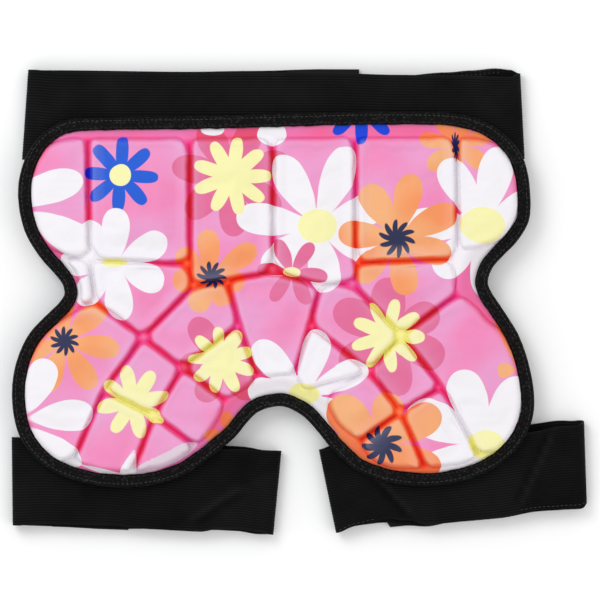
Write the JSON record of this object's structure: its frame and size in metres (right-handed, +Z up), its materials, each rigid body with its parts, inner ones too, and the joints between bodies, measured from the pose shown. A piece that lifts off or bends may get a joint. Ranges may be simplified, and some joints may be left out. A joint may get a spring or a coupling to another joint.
{
  "type": "tailbone protector",
  "caption": "Child's padded hip and tailbone guard: printed foam cells on a butterfly-shaped, bound back sheet, with looped elastic straps for waist and thighs.",
  "frame": {"origin": "middle of the bounding box's base, on the surface that the protector lies on", "axes": "+X to the right of the printed face, +Y towards the waistband, +Z up, out of the printed face"},
  "size_m": [0.3924, 0.3178, 0.0312],
  "materials": {
    "printed_cloth": "matt stretch knit printed with daisies",
    "backing_cloth": "matt black knit",
    "binding_tape": "matt black woven tape, puckered",
    "ribbed_elastic": "black ribbed elastic, slightly silky",
    "hook_tape": "black nylon hook tape"
  },
  "bodies": {
    "root": {"backing_panel": "backing_cloth", "edge_binding": "binding_tape", "foam_cell_01": "printed_cloth", "foam_cell_02": "printed_cloth", "foam_cell_03": "printed_cloth", "foam_cell_04": "printed_cloth", "foam_cell_05": "printed_cloth", "foam_cell_06": "printed_cloth", "foam_cell_07": "printed_cloth", "foam_cell_08": "printed_cloth", "foam_cell_09": "printed_cloth", "foam_cell_10": "printed_cloth", "foam_cell_11": "printed_cloth", "foam_cell_12": "printed_cloth", "foam_cell_13": "printed_cloth", "foam_cell_14": "printed_cloth", "foam_cell_15": "printed_cloth", "foam_cell_16": "printed_cloth", "foam_cell_17": "printed_cloth", "foam_cell_18": "printed_cloth", "foam_cell_19": "printed_cloth", "foam_cell_20": "printed_cloth", "foam_cell_21": "printed_cloth", "foam_cell_22": "printed_cloth", "foam_cell_23": "printed_cloth", "foam_cell_24": "printed_cloth", "waistband": "ribbed_elastic", "waist_hook_tape": "hook_tape", "left_thigh_strap": "ribbed_elastic", "left_thigh_hook_tape": "hook_tape", "right_thigh_strap": "ribbed_elastic", "right_thigh_hook_tape": "hook_tape"}
  },
  "joints": []
}
